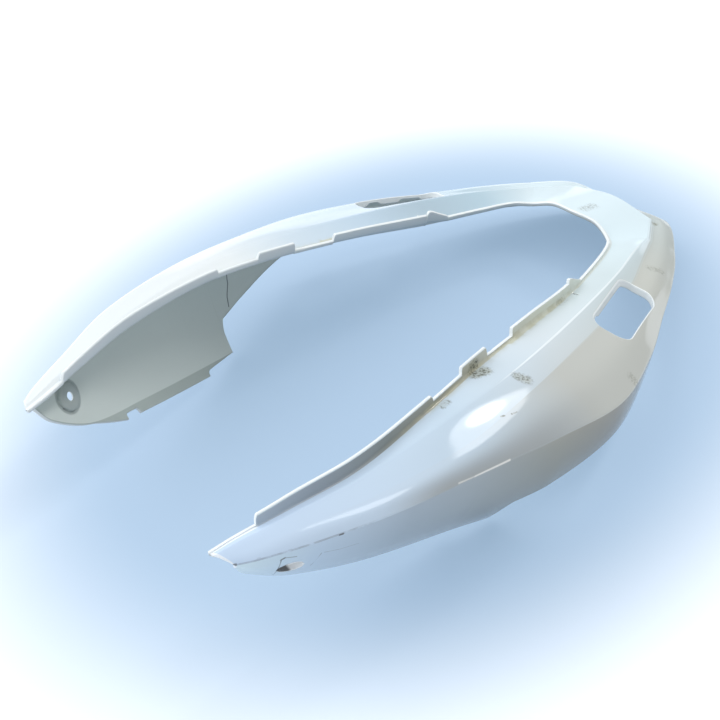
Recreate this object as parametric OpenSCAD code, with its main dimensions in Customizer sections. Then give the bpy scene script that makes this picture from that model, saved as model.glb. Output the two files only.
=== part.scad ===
// Tail fairing of a motorcycle: one moulded shell that wraps the back of the seat.
// +X points to the front tips, +Y to the left, +Z up, and the shell lies on its own lower edges.
// The guide curves run back along the left arm, and the right arm mirrors it.

/* [Overall size] */
// Length from the front tips to the rear face
body_len = 678; // [640:1:720]
// Width over the waist of both arms
body_w = 396; // [380:1:420]
// Height of the drawn guide curves above the ground
body_h = 127; // [115:1:140]
// Thickness of the moulded wall
wall = 3; // [2:0.1:3.4]

// Pitch at which the shell lies on its panel corners and tail, in degrees
rest_pitch = 2.2; // [1:0.1:3.5]

/* [Seat lip] */
// Height of the long front length of the lip, at its ends
front_lip_h = 9.2; // [7:0.1:12]
// Extra height in front of the middle of that length
front_lip_rise = 2.6; // [0:0.1:4]
// Height of the low rim in front of the tab
low_rim_h = 4.5; // [3:0.5:6]
// Height of the lower rim behind the tab
rear_rim_h = 2; // [1.5:0.5:4]
// Height of the short tab between the low rims
tab_h = 11; // [8:0.5:15]
// Height of the rear flange at its front end
flange_front_h = 9.5; // [7:0.5:13]
// Height of the rear flange at its rear end
flange_rear_h = 10.5; // [7:0.5:12]
// Extra height of the small ear that ends the flange
ear_h = 3.8; // [2:0.2:6]
// Height of the rounded lip round the tail opening
tail_lip_h = 2.6; // [2:0.1:4]
// Lean of the lip towards the seat, in degrees
lip_lean = 9; // [0:1:15]
// Fillet at the foot of the lip
foot_fillet = 2.5; // [1.5:0.5:4]
// Fillet at the foot of the rear flange
flange_fillet = 7; // [4:0.5:9]

/* [Lip places, back from the tips] */
// Front end of the front lip
front_lip_from = 37; // [30:1:45]
// Rear end of the front lip
front_lip_to = 205; // [195:1:215]
// Front end of the tab
tab_from = 247.5; // [238:0.5:254]
// Rear end of the tab
tab_to = 286; // [276:0.5:292]
// Front end of the rear flange
flange_from = 331; // [315:0.5:338]
// Front side of the ear
ear_from = 441; // [436:1:445]
// Rear end of the ear, which slopes down to the tail lip
ear_to = 467; // [458:1:474]

/* [Side panel] */
// Place of the pointed lower corner, where the arch begins
corner_at = 244; // [235:1:250]
// Length of the fillet where the arch leaves the corner
arch_fillet = 8; // [5:1:14]
// Width of the bent hem along the lower edge
hem_w = 11; // [8:0.5:14]
// Place where the hem starts to widen
hem_from = 62; // [56:1:70]
// Front side of the notch in the hem
notch_from = 95; // [90:1:103]
// Rear side of the notch in the hem
notch_to = 111; // [107:1:118]
// Width of the hem left in the notch
notch_w = 5; // [3:0.5:7]
// Rear end of the full hem
hem_to = 204; // [190:1:210]
// Width of the strip left behind it, which narrows to the corner
strip_w = 6; // [4:0.5:7]
// Depth of the plain edge where there is no hem
plain_edge = 1.5; // [1:0.1:2]

/* [Screw cups] */
// Place of each cup, back from the tip
cup_at = 48.5; // [46:0.5:54]
// Distance of the cup centre below the waist, down the panel
cup_drop = 31; // [28:1:34]
// Bore of the cup
cup_d = 19.5; // [15:0.5:20]
// Depth of the cup below the outer face
cup_depth = 4.5; // [4:0.5:8]
// Thickness of the cup's side and floor
cup_wall = 2; // [1.8:0.1:3]
// Bore for the screw
screw_d = 7.6; // [5:0.1:9]

/* [Grab rail holes] */
// Place of the hole's middle, back from the tips
rail_at = 459; // [450:1:466]
// Distance of the hole's middle from the middle of the body
rail_out = 133; // [130:1:136]
// Length of the hole along the arm
rail_len = 95; // [84:1:98]
// Width of the hole in plan
rail_w = 35.5; // [28:0.5:38]
// Corner radius of the hole
rail_r = 12; // [6:0.5:14]
// Turn of the hole in plan, in degrees
rail_turn = 16; // [12:1:20]
// Depth of the lip that turns down round the hole
rail_lip = 7; // [5:0.5:12]
// How far that lip leans into the hole
rail_lean = 1.5; // [1:0.5:4]
// Thickness of that lip
rail_edge = 2.2; // [1.6:0.1:3]

/* [Slits behind the ears] */
// Place of the slit, back from the tips
slit_at = 442.5; // [436:0.5:450]
// Distance of the slit's middle from the middle of the body
slit_out = 91; // [89:0.5:94]
// Length of the slit across the arm
slit_len = 9.5; // [6:0.5:11]
// Width of the slit
slit_w = 2.4; // [1.5:0.1:3.5]
// Turn of the slit in plan, its outer end forward, in degrees
slit_turn = 21; // [0:1:30]

/* [Hidden] */
bore_fn = 48;
// Longest step between two sections
span = 15;
tiny = 0.01;
// Half step along the arm that gives the direction of the wall
probe = 0.5;
// A key point that runs this many times further than the probe is on a step
step_ratio = 2;
// Small step of a share, which gives the panel's direction at its edge
share_step = 0.02;
// Height of the bead that leads up to the front lip
bead_h = 1;
// Power that moves the highest place of the front lip forward of its middle
peak_power = 0.7;
// Inward turn of the hem, as a slope against the panel
hem_turn = 0.45;
// Share of its full width that the hem reaches at its notch
hem_taper = 0.9;
// Share of the panel below the arch that the pointed corner keeps
corner_reach = 0.5;
// Largest share of the lip and of the top face that the foot fillet takes
lip_fillet_share = 0.5;
face_fillet_share = 0.6;
// Level of the grab rail cut's floor, as a share of the height
rail_floor_share = 0.35;
// Segments down the side panel
panel_parts = 3;
// Least distance between two sections
least_gap = 0.9;
// Steps round each corner of the grab rail holes, which turns through a quarter
corner_steps = 4;
quarter = 90;

// Size that the guide curves are drawn for
drawn_len = 678;
drawn_w = 396;
drawn_h = 127;

// Stations along an arm, back from the tip, round the tail corner to the middle
stations = [0, 22, 60, 120, 200, 280, 360, 440, 505, 555, 605, 650, 700];

// Guide points as [back, out, up], one for each station
// Foot of the seat lip
inner_line = [
    [0, 105, 117.3], [22, 108, 118.6], [60, 116, 121.2], [120, 126, 123.5], [200, 123.2, 126],
    [280, 112, 118], [360, 99.5, 103.5], [440, 86, 86], [505, 71, 76.5], [545, 59, 71.5],
    [564.5, 46, 68], [572.5, 26, 73], [571, 0, 75]];
// Crest of the arm, crisp from the tab back, then the outer edge of the tail plane
crest_line = [
    [1.5, 108.5, 118], [22, 113, 119.8], [60, 123, 122.5], [120, 136, 125], [200, 142, 126.5],
    [280, 138, 119.5], [360, 127, 108.5], [440, 112, 96], [505, 97, 84.5], [558, 81, 73.5],
    [600, 70, 62], [643, 46.5, 54.5], [644, 0, 62]];
// Soft shoulder crease outside the crest
shoulder_line = [
    [4, 114, 116], [22, 121, 117], [60, 135, 119], [120, 153, 121], [200, 164, 119],
    [280, 159, 114], [360, 147, 103], [440, 131, 89], [505, 112, 77], [560, 90, 67],
    [603, 72.5, 57.5], [647, 48.5, 49.5], [648, 0, 56]];
// Sharp waist
waist_line = [
    [7, 120, 112], [22, 129, 112], [60, 145.5, 111], [120, 168, 111.5], [200, 183, 104],
    [280, 193.5, 91], [360, 198, 77.5], [440, 176, 67], [505, 148.5, 58.5], [562, 124, 54.5],
    [612, 96, 51], [661, 56.5, 46.5], [673, 0, 29]];
// Lower edge of the side panel as far as the pointed corner, then its line below the arch
panel_line = [
    [9, 118, 107], [22, 113.5, 86], [60, 118, 56], [120, 133, 33.4], [200, 148, 12],
    [280, 163, -7], [360, 169, -13], [440, 150, -20], [505, 124, -20], [562, 101, -24],
    [612, 78, -29], [655, 49, -29], [661, 0, -17]];

// How soft each crease is at each station: 1 is a smooth curve, 0 a crisp edge
valley_soft = [1, 1, 1, 1, 1, 1, 0.6, 0.2, 0.1, 0, 0, 0, 0];
crest_soft = [1, 1, 1, 1, 1, 0.4, 0, 0, 0, 0, 0, 0, 0];
shoulder_soft = [1, 1, 1, 1, 1, 1, 0.7, 0.5, 0.4, 0.3, 0, 0, 0];
// Where the valley crease lies, as a share of the way from lip foot to crest
valley_share = [0.5, 0.5, 0.5, 0.5, 0.5, 0.5, 0.4, 0.15, 0.4, 0.7, 0.94, 0.94, 0.94];
// Outward swell of the face between shoulder and waist
swell = [0.3, 0.5, 1, 2, 3.5, 4.5, 5, 5, 4.5, 4, 3, 2, 2];
// Outward belly of the side panel between the waist and its lower edge
belly = [1, 3, 5, 5, 5, 7, 3.5, 1.5, 1, 1, 0.5, 0.5, 0.5];
// How far down the panel the arch cuts it off, as a share
arch_share = [1, 1, 1, 1, 0.84, 0.62, 0.38, 0.32, 0.3, 0.3, 0.3, 0.35, 0.35];
// Whether a guide runs through a station smoothly, false at the corners of the tail plane
flowing = [for (s = stations) true];
cornered = [for (s = stations) s < 600 || s > 660];

function stretch(p) =
    [p[0] * body_len / drawn_len, p[1] * body_w / drawn_w, p[2] * body_h / drawn_h];

function interval(u, i = 0) =
    i >= len(stations) - 2 || u < stations[i + 1] ? i : interval(u, i + 1);

// Tangent of a guide at a station: level and crosswise in the middle of the tail
function guide_tangent(line, k, chord, flow) =
    k == len(stations) - 1 ?
        [0, -line[k - 1][1], 0] / (stations[k] - stations[k - 1]) :
    k == 0 || !flow[k] ? chord :
        (line[k + 1] - line[k - 1]) / (stations[k + 1] - stations[k - 1]);

function hermite(a, ta, b, tb, t) =
    a * (2 * pow(t, 3) - 3 * t * t + 1) + ta * (pow(t, 3) - 2 * t * t + t)
    + b * (3 * t * t - 2 * pow(t, 3)) + tb * (pow(t, 3) - t * t);

function guide(line, u, flow = flowing) =
    let (
        k = interval(u),
        gap = stations[k + 1] - stations[k],
        chord = (line[k + 1] - line[k]) / gap
    )
    stretch(hermite(line[k], gap * guide_tangent(line, k, chord, flow),
        line[k + 1], gap * guide_tangent(line, k + 1, chord, flow), (u - stations[k]) / gap));

function blend(values, u) =
    let (k = interval(u), t = (u - stations[k]) / (stations[k + 1] - stations[k]))
    values[k] * (1 - t) + values[k + 1] * t;

function unit(v) = v / max(norm(v), tiny);
function level(v) = unit([v[0], v[1], 0]);

// Height of the lip above its foot
function lip_height(u) =
    u < front_lip_from ? bead_h :
    u < front_lip_to ?
        let (share = (u - front_lip_from) / (front_lip_to - front_lip_from))
        front_lip_h + front_lip_rise * pow(sin(2 * quarter * pow(share, peak_power)), 2) :
    u < tab_from ? low_rim_h :
    u < tab_to ? tab_h :
    u < flange_from ? rear_rim_h :
    u < ear_from ? flange_front_h
        + (flange_rear_h - flange_front_h) * (u - flange_from) / (ear_from - flange_from) :
    u < ear_to ? tail_lip_h
        + (flange_rear_h + ear_h - tail_lip_h) * (ear_to - u) / (ear_to - ear_from) :
    tail_lip_h;

// Width of the hem below the fold
function hem_width(u) =
    u < hem_from ? plain_edge :
    u < notch_from ? plain_edge
        + (hem_w - plain_edge) * hem_taper * (u - hem_from) / (notch_from - hem_from) :
    u < notch_to ? notch_w :
    u < hem_to ? hem_w :
    u < corner_at ? plain_edge + (strip_w - plain_edge) * (corner_at - u) / (corner_at - hem_to) :
    plain_edge;

// Share of the panel above its edge: all of it in front of the pointed corner, the arch behind it
function edge_share(u) =
    u < corner_at ? 1 :
    let (arch = blend(arch_share, u))
    arch + corner_reach * (1 - arch) * pow(max(0, 1 - (u - corner_at) / arch_fillet), 2);

// Point down the side panel, which bellies out between the waist and its lower edge
function panel_point(u, share) =
    let (waist = guide(waist_line, u), out = level(waist - guide(inner_line, u)))
    waist + share * (guide(panel_line, u) - waist)
    + blend(belly, u) * 4 * share * (1 - share) * out;

// Point that swells out from the chord between two others
function swollen(a, b, amount) =
    let (d = b - a, run = norm([d[0], d[1]]), out = level(d))
    (a + b) / 2 + amount * [-out[0] * d[2], -out[1] * d[2], run] / norm(d);

// Key points of the outer skin at one place along the arm, from lip top to lower edge
function keys(u) =
    let (
        foot = guide(inner_line, u),
        crest = guide(crest_line, u, cornered),
        shoulder = guide(shoulder_line, u, cornered),
        waist = guide(waist_line, u),
        share = edge_share(u),
        fold = panel_point(u, share),
        valley = foot + (crest - foot) * blend(valley_share, u),
        away = level(crest - foot),
        top = foot + lip_height(u) * (cos(lip_lean) * [0, 0, 1] - sin(lip_lean) * away),
        down = unit(fold - panel_point(u, share - share_step)),
        turn = hem_width(u) > plain_edge ? unit(down + hem_turn * level(foot - waist)) : down
    )
    [top, foot, valley, crest, shoulder, swollen(shoulder, waist, blend(swell, u)), waist,
        panel_point(u, share / 2), fold, fold + hem_width(u) * turn];

// Key points of the inner skin, one wall thickness in from the outer ones
function inner_keys(u) =
    let (
        k = keys(u),
        front = max(u - probe, 0),
        rear = min(u + probe, stations[len(stations) - 1]),
        ahead = keys(front),
        behind = keys(rear),
        hold = guide(waist_line, rear) - guide(waist_line, front),
        along = [for (j = [0:len(k) - 1])
            let (run = behind[j] - ahead[j])
            norm(run) > step_ratio * 2 * probe ? hold : run],
        last = len(k) - 1
    )
    [for (j = [0:last])
        let (
            before = unit(cross(k[max(j, 1)] - k[max(j, 1) - 1], along[j])),
            after = unit(cross(k[min(j, last - 1) + 1] - k[min(j, last - 1)], along[j])),
            lean = max(1 + before * after, 0.5)
        )
        k[j] + wall * (before + after) / lean];

// Parabola through three points
function parabola(a, middle, b, t) =
    a * (1 - t) * (1 - 2 * t) + middle * 4 * t * (1 - t) + b * t * (2 * t - 1);

// Full section from the key points: straight lip, curved top, bellied panel, hem
function section(k, u) =
    let (
        fillet = u > flange_from && u < ear_to ? flange_fillet : foot_fillet,
        soft = [1, blend(valley_soft, u), blend(crest_soft, u), blend(shoulder_soft, u), 1, 1],
        top = [for (j = [1:6]) k[j]],
        pull = [for (j = [0:5])
            let (a = top[max(j - 1, 0)], b = top[min(j + 1, 5)])
            (b - a) / (norm(top[j] - a) + norm(b - top[j]))],
        lip_part = min(lip_fillet_share, fillet / norm(k[0] - k[1])),
        face_part = min(face_fillet_share, fillet / norm(k[2] - k[1])),
        parts = [1, 2, 2, 2, 3]
    )
    concat(
        [k[0], k[1] + lip_part * (k[0] - k[1]), k[1] + face_part * (k[2] - k[1])],
        [for (j = [0:4], n = [1:parts[j]])
            let (
                chord = top[j + 1] - top[j],
                leave = soft[j] * norm(chord) * pull[j] + (1 - soft[j]) * chord,
                arrive = soft[j + 1] * norm(chord) * pull[j + 1] + (1 - soft[j + 1]) * chord
            )
            hermite(top[j], leave, top[j + 1], arrive, n / parts[j])],
        [for (n = [1:panel_parts]) parabola(k[6], k[7], k[8], n / panel_parts)],
        [k[9]]);

// Places where the lip or the lower edge steps, each with a short ramp
ramp = 1.2;
steps = [front_lip_from, front_lip_to, tab_from, tab_to, flange_from, ear_from, ear_to,
    corner_at, notch_from, notch_to, hem_to, hem_from];
even = [for (k = [0:len(stations) - 2])
    let (gap = stations[k + 1] - stations[k], n = ceil(gap / span))
    for (i = [0:n - 1]) stations[k] + gap * i / n];
wanted = concat(even, [for (s = steps) each [s - tiny, s + ramp]], [stations[len(stations) - 1]]);
function sorted(v) =
    len(v) < 2 ? v :
    let (pivot = v[floor(len(v) / 2)])
    concat(sorted([for (x = v) if (x < pivot) x]), [for (x = v) if (x == pivot) x],
        sorted([for (x = v) if (x > pivot) x]));
in_order = sorted(wanted);
function on_step(u) = len([for (s = steps) if (abs(u - s + tiny) < tiny) s]) > 0;
places = [for (i = [0:len(in_order) - 1])
    let (u = in_order[i])
    if (i == 0 || i == len(in_order) - 1 || u - in_order[i - 1] > least_gap || on_step(u)) u];

function mirrored(p) = [p[0], -p[1], p[2]];
function both_arms(rows) =
    let (n = len(rows))
    concat(rows, [for (i = [n - 2:-1:0]) [for (p = rows[i]) mirrored(p)]]);

outer_rows = both_arms([for (u = places) section(keys(u), u)]);
inner_rows = both_arms([for (u = places) section(inner_keys(u), u)]);
row_len = len(outer_rows[0]);
row_count = len(outer_rows);
skin_points = concat([for (r = outer_rows) each r], [for (r = inner_rows) each r]);

// The shell lies on its panel corners and on the tail's lower edge, so the drawn curves are pitched
function pitched(p) = [
    p[0] * cos(rest_pitch) - p[2] * sin(rest_pitch),
    p[1],
    p[0] * sin(rest_pitch) + p[2] * cos(rest_pitch)];
function forward(p) = [-p[0], p[1], p[2]];
turned_points = [for (p = skin_points) pitched(forward(p))];
ground = min([for (p = turned_points) p[2]]);
middle = (max([for (p = turned_points) p[0]]) + min([for (p = turned_points) p[0]])) / 2;
function placed(p) = pitched(forward(p)) - [middle, 0, ground];

// Height of the outer face over a point of the plan, found between the section's own points
function face_height(s, y) =
    let (
        u = s * drawn_len / body_len,
        k = keys(u),
        row = section(k, u)
    )
    lookup(y, [for (p = row) if (p[1] > k[1][1] && p[1] <= k[6][1] && p[2] >= k[6][2]) [p[1], p[2]]]);

// Moves children from their own origin and +Z to a drawn point and direction
module stand_at(point, direction) {
    d = pitched(forward(direction));
    translate(placed(point))
        rotate([0, acos(d[2] / norm(d)), atan2(d[1], d[0])])
            children();
}

module both_sides() {
    children();
    mirror([0, 1, 0]) children();
}

module shell() {
    inside = row_count * row_len;
    last_row = row_count - 1;
    last = row_len - 1;
    function at(i, j) = i * row_len + j;
    outer_faces = [for (i = [0:last_row - 1], j = [0:last - 1])
        each [[at(i, j), at(i + 1, j), at(i, j + 1)], [at(i, j + 1), at(i + 1, j), at(i + 1, j + 1)]]];
    inner_faces = [for (f = outer_faces) [f[2] + inside, f[1] + inside, f[0] + inside]];
    lip_faces = [for (i = [0:last_row - 1])
        each [[at(i, 0), at(i, 0) + inside, at(i + 1, 0)],
            [at(i + 1, 0), at(i, 0) + inside, at(i + 1, 0) + inside]]];
    hem_faces = [for (i = [0:last_row - 1])
        each [[at(i, last), at(i + 1, last), at(i, last) + inside],
            [at(i + 1, last), at(i + 1, last) + inside, at(i, last) + inside]]];
    left_tip = [for (j = [0:last - 1])
        each [[at(0, j), at(0, j + 1), at(0, j) + inside],
            [at(0, j + 1), at(0, j + 1) + inside, at(0, j) + inside]]];
    right_tip = [for (j = [0:last - 1])
        each [[at(last_row, j), at(last_row, j) + inside, at(last_row, j + 1)],
            [at(last_row, j + 1), at(last_row, j) + inside, at(last_row, j + 1) + inside]]];
    polyhedron([for (p = turned_points) p - [middle, 0, ground]],
        concat(outer_faces, inner_faces, lip_faces, hem_faces, left_tip, right_tip));
}

// Centre and outward direction of a screw cup on the side panel
cup_share = cup_drop / norm(guide(panel_line, cup_at) - guide(waist_line, cup_at));
cup_centre = panel_point(cup_at, cup_share);
cup_down = panel_point(cup_at, cup_share + share_step) - cup_centre;
cup_out = unit(cross(panel_point(cup_at + probe, cup_share) - cup_centre, cup_down));

// Boss on the inside of the panel that carries the screw head
module cup_boss() {
    stand_at(cup_centre, cup_out)
        translate([0, 0, -cup_depth - cup_wall])
            cylinder(h = cup_depth + cup_wall - wall / 2, d = cup_d + 2 * cup_wall, $fn = bore_fn);
}

// Cup sunk from outside, and the screw bore through its floor
module cup_bores() {
    stand_at(cup_centre, cup_out) {
        translate([0, 0, -cup_depth])
            cylinder(h = cup_depth + wall, d = cup_d, $fn = bore_fn);
        translate([0, 0, -cup_depth - 2 * cup_wall])
            cylinder(h = 3 * cup_wall, d = screw_d, $fn = bore_fn);
    }
}

// Plan outline of a grab rail hole, grown outwards by an amount
rail_middle = stretch([rail_at, rail_out, 0]);
function rail_outline(grow) =
    [for (c = [[1, 1], [-1, 1], [-1, -1], [1, -1]], n = [0:corner_steps])
        let (
            quarters = c[0] > 0 ? (c[1] > 0 ? 0 : 3) : (c[1] > 0 ? 1 : 2),
            a = quarter * (quarters + n / corner_steps),
            x = c[0] * (rail_len / 2 - rail_r) + (rail_r + grow) * cos(a),
            y = c[1] * (rail_w / 2 - rail_r) + (rail_r + grow) * sin(a)
        )
        [rail_middle[0] + x * cos(rail_turn) + y * sin(rail_turn),
            rail_middle[1] - x * sin(rail_turn) + y * cos(rail_turn)]];

// A loop of points that follows the outer face, grown in plan and sunk by a depth
function rail_loop(grow, depth) =
    let (outline = rail_outline(0), grown = rail_outline(grow))
    [for (i = [0:len(outline) - 1])
        placed([grown[i][0], grown[i][1], face_height(outline[i][0], outline[i][1]) - depth])];

// Skin between loops of the same length: a closed ring of them, or a plug with two flat ends
module rail_skin(loops, ring) {
    n = len(loops[0]);
    m = len(loops);
    sides = [for (j = [0:(ring ? m : m - 1) - 1], i = [0:n - 1])
        let (
            a = j * n + i,
            b = j * n + (i + 1) % n,
            c = ((j + 1) % m) * n + i,
            d = ((j + 1) % m) * n + (i + 1) % n
        )
        each ring ? [[a, b, c], [b, d, c]] : [[a, c, b], [b, c, d]]];
    ends = ring ? [] : [[for (i = [0:n - 1]) i], [for (i = [n - 1:-1:0]) (m - 1) * n + i]];
    polyhedron([for (l = loops) each l], concat(sides, ends));
}

// Lip that turns down and into the hole all round
module rail_hole_lip() {
    rail_skin([rail_loop(rail_edge, wall / 3), rail_loop(0, wall / 4),
        rail_loop(-rail_lean, rail_lip), rail_loop(rail_edge - rail_lean, rail_lip)], true);
}

// Plug through the wall with the hole's plan outline
module rail_cut() {
    rail_skin([for (height = [body_h, body_h * rail_floor_share])
        [for (p = rail_outline(0)) placed([p[0], p[1], height])]], false);
}

// Slit across the arm outside the ear, where the seat clip hooks in
module slit() {
    middle_point = stretch([slit_at, slit_out, 0]);
    stand_at(middle_point + [0, 0, face_height(middle_point[0], middle_point[1])], [0, 0, 1])
        rotate([0, 0, -slit_turn])
            cube([slit_w, slit_len, 6 * wall], center = true);
}

module tail_fairing() {
    color("whitesmoke")
        difference() {
            union() {
                difference() {
                    shell();
                    both_sides() rail_cut();
                    both_sides() slit();
                }
                both_sides() rail_hole_lip();
                both_sides() cup_boss();
            }
            both_sides() cup_bores();
        }
}

tail_fairing();
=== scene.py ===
# Motorcycle tail fairing: one moulded shell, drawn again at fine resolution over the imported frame.
# Guides are drawn in millimetres, back from the tips, out from the middle and up, and set in the frame later.
import math

import bmesh
import bpy
import numpy as np
from mathutils import Matrix, Vector


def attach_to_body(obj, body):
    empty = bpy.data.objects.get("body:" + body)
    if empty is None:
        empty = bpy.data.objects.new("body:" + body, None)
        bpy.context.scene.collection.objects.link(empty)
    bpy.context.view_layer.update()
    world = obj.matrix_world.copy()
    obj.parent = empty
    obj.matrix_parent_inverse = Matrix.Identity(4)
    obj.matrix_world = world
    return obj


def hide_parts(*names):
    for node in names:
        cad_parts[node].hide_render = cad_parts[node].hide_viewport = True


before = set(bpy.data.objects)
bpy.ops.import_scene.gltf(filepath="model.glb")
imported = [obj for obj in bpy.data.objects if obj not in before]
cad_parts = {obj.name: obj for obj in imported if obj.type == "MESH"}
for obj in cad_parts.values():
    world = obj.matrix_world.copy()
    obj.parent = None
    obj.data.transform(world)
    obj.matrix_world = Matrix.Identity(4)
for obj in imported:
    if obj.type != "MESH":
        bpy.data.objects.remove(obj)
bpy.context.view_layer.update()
scene = bpy.context.scene

# Tail shell: the one piece that closes a motorcycle's tail, with about 3 mm of wall in glossy white plastic.
# It is injection moulded in one shot, and a screw through the cup at the front of each arm holds it.
# Each guide line runs back along the left arm and round the tail corner to the middle, as in the source.
STATIONS = np.array([0, 22, 60, 120, 200, 280, 360, 440, 505, 555, 605, 650, 700], float)
LINES = {
    "foot": [(0, 105, 117.3), (22, 108, 118.6), (60, 116, 121.2), (120, 126, 123.5), (200, 123.2, 126),
             (280, 112, 118), (360, 99.5, 103.5), (440, 86, 86), (505, 71, 76.5), (545, 59, 71.5),
             (564.5, 46, 68), (572.5, 26, 73), (571, 0, 75)],
    "crest": [(1.5, 108.5, 118), (22, 113, 119.8), (60, 123, 122.5), (120, 136, 125), (200, 142, 126.5),
              (280, 138, 119.5), (360, 127, 108.5), (440, 112, 96), (505, 97, 84.5), (558, 81, 73.5),
              (600, 70, 62), (643, 46.5, 54.5), (644, 0, 62)],
    "shoulder": [(4, 114, 116), (22, 121, 117), (60, 135, 119), (120, 153, 121), (200, 164, 119),
                 (280, 159, 114), (360, 147, 103), (440, 131, 89), (505, 112, 77), (560, 90, 67),
                 (603, 72.5, 57.5), (647, 48.5, 49.5), (648, 0, 56)],
    "waist": [(7, 120, 112), (22, 129, 112), (60, 145.5, 111), (120, 168, 111.5), (200, 183, 104),
              (280, 193.5, 91), (360, 198, 77.5), (440, 176, 67), (505, 148.5, 58.5), (562, 124, 54.5),
              (612, 96, 51), (661, 56.5, 46.5), (673, 0, 29)],
    "panel": [(9, 118, 107), (22, 113.5, 86), (60, 118, 56), (120, 133, 33.4), (200, 148, 12),
              (280, 163, -7), (360, 169, -13), (440, 150, -20), (505, 124, -20), (562, 101, -24),
              (612, 78, -29), (655, 49, -29), (661, 0, -17)],
}
# How far each crease is rounded away at the stations: 1 is soft and 0 is a sharp corner.
SOFT = {
    "valley": [1, 1, 1, 1, 1, 1, 0.6, 0.2, 0.1, 0, 0, 0, 0],
    "crest": [1, 1, 1, 1, 1, 0.4, 0, 0, 0, 0, 0, 0, 0],
    "shoulder": [1, 1, 1, 1, 1, 1, 0.7, 0.5, 0.4, 0.3, 0, 0, 0],
}
# Place of the valley from the foot to the crest, bulge of the upper face and of the panel in millimetres, and
# the part of the panel that is left above the arch, all at the stations.
VALLEY_SHARE = [0.5, 0.5, 0.5, 0.5, 0.5, 0.5, 0.4, 0.15, 0.4, 0.7, 0.94, 0.94, 0.94]
SWELL = [0.3, 0.5, 1, 2, 2.8, 3.3, 4.2, 4.8, 4.5, 4, 3, 2, 2]
BELLY = [1, 3, 5, 5, 6, 11.5, 10, 6, 2, 1, 0.5, 0.5, 0.5]
ARCH_SHARE = [1, 1, 1, 1, 0.84, 0.62, 0.38, 0.32, 0.3, 0.3, 0.3, 0.35, 0.35]
CORNERED = {"crest": (605, 650), "shoulder": (605, 650)}


def hermite(a, leave, b, arrive, t):
    """A cubic from a to b with the tangents given at both ends."""
    return (a * (2 * t**3 - 3 * t * t + 1) + leave * (t**3 - 2 * t * t + t)
            + b * (3 * t * t - 2 * t**3) + arrive * (t**3 - t * t))


def guide(name, u):
    """Points of a guide line at the places u along the arm; its tangents break at sharp stations."""
    points = np.array(LINES[name], float)
    k = np.clip(np.searchsorted(STATIONS, u, side="right") - 1, 0, len(STATIONS) - 2)
    gap = (STATIONS[k + 1] - STATIONS[k])[:, None]
    chord = (points[k + 1] - points[k]) / gap
    tangent = np.zeros_like(points)
    tangent[1:-1] = (points[2:] - points[:-2]) / (STATIONS[2:] - STATIONS[:-2])[:, None]
    tangent[-1] = [0, -points[-2][1] / (STATIONS[-1] - STATIONS[-2]), 0]
    sharp = np.isin(STATIONS, (0,) + CORNERED.get(name, ()))
    leave = np.where(sharp[k][:, None], chord, tangent[k])
    arrive = np.where(sharp[k + 1][:, None], chord, tangent[k + 1])
    t = (u[:, None] - STATIONS[k][:, None]) / gap
    return hermite(points[k], gap * leave, points[k + 1], gap * arrive, t)


def unit(v):
    """Directions of unit length."""
    return v / np.maximum(np.linalg.norm(v, axis=-1, keepdims=True), 1e-6)


def flat(v):
    """Level directions of unit length."""
    return unit(v * np.array([1, 1, 0]))


# Seat lip and hem: the free edges of the moulding, which lie against the seat and stiffen the side panels.
# The lip steps from a bead to the long front lip, the short tab, and the rear flange with its ear.
# The hem turns in under the side panel, has one notch, and narrows behind the pointed corner.
BEAD = ([0, 60, 190, 250, 284, 300, 440, 466, 700], [1, 1, 4.5, 4.5, 3, 2, 2, 2.6, 2.6])
FRONT_LIP = {"from": 37, "to": 208.5, "high": 9.2, "crown": 2.6, "crown_run": 168.5, "radius": 2.6}
TAB = {"from": 249.5, "to": 288.5, "high": 11.0, "radius": 1.8}
FLANGE = {"from": 331, "to": 460, "highs": ([331, 441], [9.4, 10.5]), "radius": 1.8}
EAR = ([440.5, 441.2, 442.5, 446, 457, 466, 468.5], [0, 11.5, 14.3, 14.3, 8.6, 4.2, 0])
HEM = ([0, 62, 95, 204, 700], [1.5, 1.5, 10.5, 11, 11])
HEM_NOTCH = {"from": 95, "to": 111.5, "wide": 5, "radius": 2.5}
HEM_REAR = {"from": 203, "run": 4, "wide": ([0, 203, 243, 260], [5, 6, 1, 1.5])}
HEM_TURN = 0.45
LIP_LEAN = math.radians(9)
EAR_ENDS = (441.5, 467)
PANEL_CORNER = 244


def bump(u, start, stop, radius):
    """1 between start and stop, with rounded ends, and 0 outside."""
    t = np.clip(np.minimum(u - start, stop - u) / radius, 0, 1)
    return np.sqrt(1 - (1 - t) ** 2)


def lip_height(u):
    """Height of the seat lip over its foot."""
    base = np.interp(u, *BEAD)
    crown = np.clip((u - FRONT_LIP["from"]) / FRONT_LIP["crown_run"], 0, 1) ** 0.7
    front = FRONT_LIP["high"] + FRONT_LIP["crown"] * np.sin(np.pi * crown) ** 2
    height = base + (front - base) * bump(u, FRONT_LIP["from"], FRONT_LIP["to"], FRONT_LIP["radius"])
    height += (TAB["high"] - base) * bump(u, TAB["from"], TAB["to"], TAB["radius"])
    flange = np.interp(u, *FLANGE["highs"])
    height += (flange - base) * bump(u, FLANGE["from"], FLANGE["to"], FLANGE["radius"])
    return np.where(u > EAR[0][0], np.maximum(np.interp(u, *EAR), base), height)


def hem_width(u):
    """Width of the hem from the fold to its edge."""
    width = np.interp(u, *HEM)
    notch = bump(u, HEM_NOTCH["from"], HEM_NOTCH["to"], HEM_NOTCH["radius"])
    behind = np.clip((u - HEM_REAR["from"]) / HEM_REAR["run"], 0, 1)
    narrow = np.interp(u, *HEM_REAR["wide"])
    width = width + (HEM_NOTCH["wide"] - width) * notch
    return width + (narrow - width) * np.sqrt(1 - (1 - behind) ** 2)


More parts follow.
